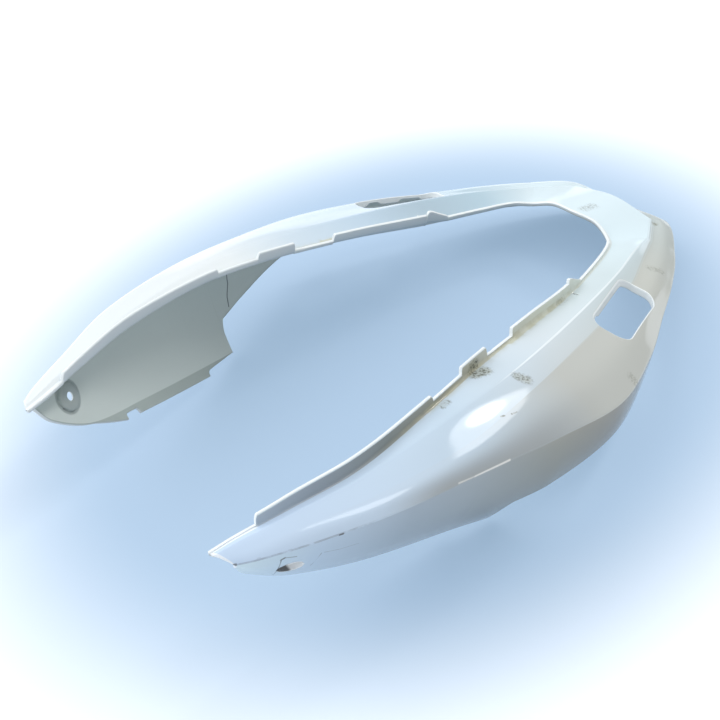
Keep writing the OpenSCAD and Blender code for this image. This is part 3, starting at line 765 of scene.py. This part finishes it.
# Wear: dirt at the foot of the lip, mould spots, scratches, chips along the crease and a hairline crack, and
# with them painted shade round each boss and a painted highlight along the waist crease.
# Each mark is a stroke between two points on the shell, in millimetres, and fine noise breaks it into specks.
WEAR_AND_PAINTED_LIGHT = {
    "boss_shade": (0.48, 0.53, 0.51, 1), "dirt": (0.50, 0.49, 0.34, 1), "haze": (0.34, 0.34, 0.22, 1),
    "speck": (0.10, 0.10, 0.07, 1), "scratch": (0.14, 0.15, 0.16, 1), "waist_highlight": (1.0, 0.98, 0.92, 1),
    "chip": (0.12, 0.13, 0.15, 1)}
stroke = bpy.data.node_groups.new("stroke", "ShaderNodeTree")
for name, kind in (("Place", "Vector"), ("Start", "Vector"), ("End", "Vector"), ("Reach", "Float")):
    stroke.interface.new_socket(name=name, in_out="INPUT", socket_type="NodeSocket" + kind)
stroke.interface.new_socket(name="Near", in_out="OUTPUT", socket_type="NodeSocketFloat")


def vectors(tree, operation, a, b):
    """A Vector Math node on vectors, outputs or a scale."""
    made = node(tree, "ShaderNodeVectorMath", operation=operation)
    attach(tree, a, made.inputs[0])
    attach(tree, b, made.inputs["Scale"] if operation == "SCALE" else made.inputs[1])
    return made.outputs["Value" if operation in ("DOT_PRODUCT", "DISTANCE") else "Vector"]


given = node(stroke, "NodeGroupInput").outputs
run = vectors(stroke, "SUBTRACT", given["End"], given["Start"])
away = vectors(stroke, "SUBTRACT", given["Place"], given["Start"])
passed = maths(stroke, "DIVIDE", vectors(stroke, "DOT_PRODUCT", away, run),
               vectors(stroke, "DOT_PRODUCT", run, run), clamp=True)
gap_size = vectors(stroke, "DISTANCE", away, vectors(stroke, "SCALE", run, passed))
near_share = ramp(stroke, maths(stroke, "DIVIDE", gap_size, given["Reach"]), 1.0, 0.25)
stroke.links.new(near_share, node(stroke, "NodeGroupOutput").inputs["Near"])


def speckle(tree, scale, low, high, detail=3.0):
    """Fine noise that breaks a mark into specks."""
    made = node(tree, "ShaderNodeTexNoise")
    attach(tree, spot, made.inputs["Vector"])
    made.inputs["Scale"].default_value = scale
    made.inputs["Detail"].default_value = detail
    return ramp(tree, made.outputs["Fac"], low, high)


def strokes(tree, marks):
    """The strongest of several strokes, each given as start, end, reach and strength in millimetres."""
    strongest = None
    for start, end, reach, strength in marks:
        made = node(tree, "ShaderNodeGroup", node_tree=stroke)
        attach(tree, spot, made.inputs["Place"])
        made.inputs["Start"].default_value = [v / 1000 for v in start]
        made.inputs["End"].default_value = [v / 1000 + 1e-5 for v in end]
        made.inputs["Reach"].default_value = reach / 1000
        weighed = times(tree, made.outputs["Near"], strength)
        strongest = weighed if strongest is None else maths(tree, "MAXIMUM", strongest, weighed)
    return strongest


# Painted shade: the inner face round each screw boss is darker, as the boss's shade.
boss_shade = strokes(tree, [((287.7, -hand * 130.7, 96), (284, -hand * 125, 99), 17, 1.0) for hand in (-1, 1)])
colour = blend(tree, times(tree, ramp(tree, boss_shade, 0.02, 0.12), inside), colour, WEAR_AND_PAINTED_LIGHT["boss_shade"])
foot_band = band(tree, rounded, 0.1, 0.5, 0.9, 1.12)
foot_run = band(tree, along, 0.2, 0.3, 0.62, 0.68)
foot_dirt = times(tree, foot_band, foot_run, speckle(tree, 90, 0.25, 0.7), 0.62)
colour = blend(tree, foot_dirt, colour, WEAR_AND_PAINTED_LIGHT["dirt"])
stains = strokes(tree, [
    ((73, 119.2, 125), (62, 121.5, 123.4), 8, 0.95),
    ((49, 142.5, 120.9), (45, 149, 118.6), 7.5, 0.7),
    ((122.4, 128.2, 131.6), (116, 127.1, 130.9), 5, 0.6),
    ((70.6, 113.2, 128), (64.7, 112.2, 127), 7, 1.0),
    ((-90.1, 89.1, 86.8), (-80, 91, 89.2), 8, 0.28),
    ((-248.6, 1.2, 64.2), (-265.6, 2.8, 60.4), 8, 0.4),
    ((-212.1, 104.3, 61.1), (-218.9, 112.2, 57.5), 7, 0.38),
    ((-304.2, 52.2, 40.2), (-303, 55, 40), 5, 0.7),
    ((-53.6, 186.5, 77), (-53.2, 192.4, 65.9), 7, 0.38),
    ((94.7, 162, 122.3), (91, 163, 121.7), 1.2, 0.8),
    ((84.8, 164.9, 120.1), (79, 166, 119.4), 1.2, 0.6)])
specked = times(tree, stains, speckle(tree, 520, 0.40, 0.66, 6.0))
hazed = times(tree, ramp(tree, stains, 0.15, 1.0), 0.5)
colour = blend(tree, hazed, colour, WEAR_AND_PAINTED_LIGHT["haze"])
colour = blend(tree, specked, colour, WEAR_AND_PAINTED_LIGHT["speck"])
scratches = [
    ((293, 116.9, 81.4), (296.5, 127.8, 100.2), 0.8, 0.8),
    ((296.5, 127.8, 100.2), (297.8, 134.1, 116.1), 0.8, 0.9),
    ((297.8, 134.1, 116.1), (295.7, 135.4, 117.3), 1.4, 1.0),
    ((295.7, 135.4, 117.3), (287.5, 138.2, 113.7), 0.7, 0.7),
    ((269.5, 143.7, 105.7), (272.2, 134.1, 87.1), 0.6, 0.6),
    ((267.5, 144.4, 105.4), (255.7, 147.8, 100.9), 0.5, 0.5),
    ((255.7, 147.8, 100.9), (241.7, 152.8, 98.9), 0.5, 0.45)]
crack = [
    ((62.2, -190.2, 67.4), (64.6, -187.4, 54.9), 1.0, 1.0),
    ((64.6, -187.4, 54.9), (70.9, -182.7, 44.6), 1.0, 1.0),
    ((70.9, -182.7, 44.6), (73.2, -178.9, 36.7), 1.0, 1.0)]
colour = blend(tree, strokes(tree, scratches + crack), colour, WEAR_AND_PAINTED_LIGHT["scratch"])
# Painted highlight: a near-white streak along the near arm's waist crease, as a glint of light.
waist_highlights = strokes(tree, [
    ((163, 178, 115.4), (143.2, 182, 111.7), 1.1, 0.5),
    ((148, 181.2, 112.6), (113.3, 186, 106.5), 1.4, 0.8)])
colour = blend(tree, waist_highlights, colour, WEAR_AND_PAINTED_LIGHT["waist_highlight"])
chipped = strokes(tree, [
    ((326.8, 119.8, 125.6), (325.6, 120.3, 125.5), 1.7, 1.0),
    ((312.7, 127.2, 125.4), (311, 128, 125.3), 1.3, 1.0),
    ((303.4, 132, 124.6), (302, 132.6, 124.5), 1.1, 0.8),
    ((293, 136.8, 124.2), (291, 137.6, 124.1), 0.8, 0.8),
    ((258.8, 152, 121.8), (256.6, 152.8, 121.7), 1.4, 1.0),
    ((184.9, 173.8, 117.2), (182, 174.3, 116.8), 1.0, 0.5),
    ((269, 147.8, 122.6), (266, 149, 122.5), 0.8, 0.5)])
front_crease = times(tree, band(tree, rounded, 4.3, 4.5, 4.6, 4.95), ramp(tree, along, 0.17, 0.10))
lined = times(tree, front_crease, speckle(tree, 160, 0.3, 0.62), 0.38)
colour = blend(tree, maths(tree, "MAXIMUM", lined, chipped), colour, WEAR_AND_PAINTED_LIGHT["chip"])
attach(tree, colour, shader.inputs["Base Color"])
GLOSSY = 0.08
WORN_MORE = 0.45
worn = maths(tree, "MAXIMUM", inside, hazed)
attach(tree, maths(tree, "MULTIPLY_ADD", worn, WORN_MORE, GLOSSY), shader.inputs["Roughness"])
mesh.materials.append(plastic)
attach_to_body(shell, "root")
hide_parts("tail_fairing")

# Floor: a wide plain studio floor, pale blue in an oval round the object and white farther out.
# It keeps the object's soft shadow; a painted glow, seen by the camera and in gloss only, lifts its colour and
# softens that shadow.
FLOOR = {"half": 6, "near": (0.26, 0.31, 0.37, 1), "far": (0.86, 0.9, 0.94, 1),
         "near_glow": (0.23, 0.335, 0.46, 1), "far_glow": (0.35, 0.35, 0.35, 1),
         "oval": (0.45, 0.345), "middle": (-0.03, -0.03), "fade": (0.7, 1.3)}
half = FLOOR["half"]
floor_mesh = bpy.data.meshes.new("floor")
floor_corners = [(-half, -half, 0), (half, -half, 0), (half, half, 0), (-half, half, 0)]
floor_mesh.from_pydata(floor_corners, [], [(0, 1, 2, 3)])
floor = bpy.data.objects.new("floor", floor_mesh)
scene.collection.objects.link(floor)
ground = bpy.data.materials.new("ground")
ground.use_nodes = True
tree = ground.node_tree
shader = tree.nodes["Principled BSDF"]
oval = node(tree, "ShaderNodeVectorMath", operation="MULTIPLY_ADD")
attach(tree, node(tree, "ShaderNodeTexCoord").outputs["Object"], oval.inputs[0])
oval.inputs[1].default_value = (*(1 / size for size in FLOOR["oval"]), 0)
oval.inputs[2].default_value = (*(-at / size for at, size in zip(FLOOR["middle"], FLOOR["oval"])), 0)
span = node(tree, "ShaderNodeVectorMath", operation="LENGTH")
attach(tree, oval.outputs["Vector"], span.inputs[0])
far_out = ramp(tree, span.outputs["Value"], *FLOOR["fade"])
attach(tree, blend(tree, far_out, FLOOR["near"], FLOOR["far"]), shader.inputs["Base Color"])
shader.inputs["Roughness"].default_value = 0.8
shader.inputs["Specular IOR Level"].default_value = 0.1
attach(tree, blend(tree, far_out, FLOOR["near_glow"], FLOOR["far_glow"]), shader.inputs["Emission Color"])
seen_by = node(tree, "ShaderNodeLightPath").outputs
attach(tree, maths(tree, "ADD", seen_by["Is Camera Ray"], seen_by["Is Glossy Ray"], clamp=True),
       shader.inputs["Emission Strength"])
floor_mesh.materials.append(ground)

# Studio light: a pale world, a broad soft key from the far left, and windows that the glossy face mirrors.
# Each lamp stands in the direction from which its reflection is seen in the photo.
SKY = {"dim": (0.44, 0.45, 0.46, 1), "bright": (0.95, 1.0, 1.06, 1),
       "towards": (0.62, -0.74, 0.25), "level": 0.86}
world = bpy.data.worlds.new("sky")
world.use_nodes = True
tree = world.node_tree
facing = node(tree, "ShaderNodeVectorMath", operation="DOT_PRODUCT")
attach(tree, node(tree, "ShaderNodeTexCoord").outputs["Generated"], facing.inputs[0])
facing.inputs[1].default_value = SKY["towards"]
brightness = ramp(tree, facing.outputs["Value"], -0.7, 0.8)
attach(tree, blend(tree, brightness, SKY["dim"], SKY["bright"]), tree.nodes["Background"].inputs["Color"])
tree.nodes["Background"].inputs["Strength"].default_value = SKY["level"]
scene.world = world
SHOULDER_SPOT = (0.10, 0.157, 0.12)
LAMPS = [
    {"name": "key", "towards": (0.37, -0.53, 0.77), "lengthwise": (1, 0, 0),
     "from": (0, 0, 0.1), "reach": 2.4, "wide": 3.0, "tall": 3.0, "power": 30},
    {"name": "window", "towards": (-0.742, 0.015, 0.665), "lengthwise": (-0.11, -0.13, -0.11),
     "from": SHOULDER_SPOT, "reach": 3.0, "wide": 0.52, "tall": 0.24, "power": 5.0},
    {"name": "window_frame", "towards": (-0.735, 0.05, 0.675), "lengthwise": (-0.23, -0.17, -0.215),
     "from": SHOULDER_SPOT, "reach": 3.05, "wide": 1.15, "tall": 0.62, "power": 8},
    {"name": "ceiling_strip", "towards": (-0.32, 0.25, 0.91), "lengthwise": (-0.41, -0.37, 0.01),
     "from": (0.24, 0.153, 0.12), "reach": 3.0, "wide": 1.25, "tall": 0.9, "power": 11}]
for setting in LAMPS:
    lamp_data = bpy.data.lights.new(setting["name"], "AREA")
    lamp_data.shape = "RECTANGLE" if setting["name"] == "key" else "ELLIPSE"
    lamp_data.size = setting["wide"]
    lamp_data.size_y = setting["tall"]
    lamp_data.energy = setting["power"]
    lamp = bpy.data.objects.new(setting["name"], lamp_data)
    facing_back = Vector(setting["towards"]).normalized()
    short_side = facing_back.cross(Vector(setting["lengthwise"])).normalized()
    turned = Matrix((short_side.cross(facing_back), short_side, facing_back)).transposed()
    stands = Vector(setting["from"]) + setting["reach"] * facing_back
    lamp.matrix_world = Matrix.Translation(stands) @ turned.to_4x4()
    scene.collection.objects.link(lamp)

# Camera: placed and turned as found from the photo's mirrored pairs of points.
# It was found beside the drawn shell, so its place and axes are pitched and shifted with it.
camera_data = bpy.data.cameras.new("camera")
camera_data.lens = 60
camera_data.sensor_width = 36
camera = bpy.data.objects.new("camera", camera_data)
stands = Vector((0.32097, 0.54314, 0.72279))
right = Vector((-0.68417292, 0.72931983, 0))
down = Vector((0.4629024, 0.43424746, -0.77275515))
ahead = Vector((-0.56358566, -0.52869814, -0.63470425))
pitched = Matrix.Rotation(-pitch, 3, "Y")
axes = Matrix((pitched @ right, pitched @ -down, pitched @ -ahead)).transposed()
camera.matrix_world = Matrix.Translation(pitched @ stands + shift) @ axes.to_4x4()
scene.collection.objects.link(camera)
scene.camera = camera
scene.view_settings.view_transform = "Standard"
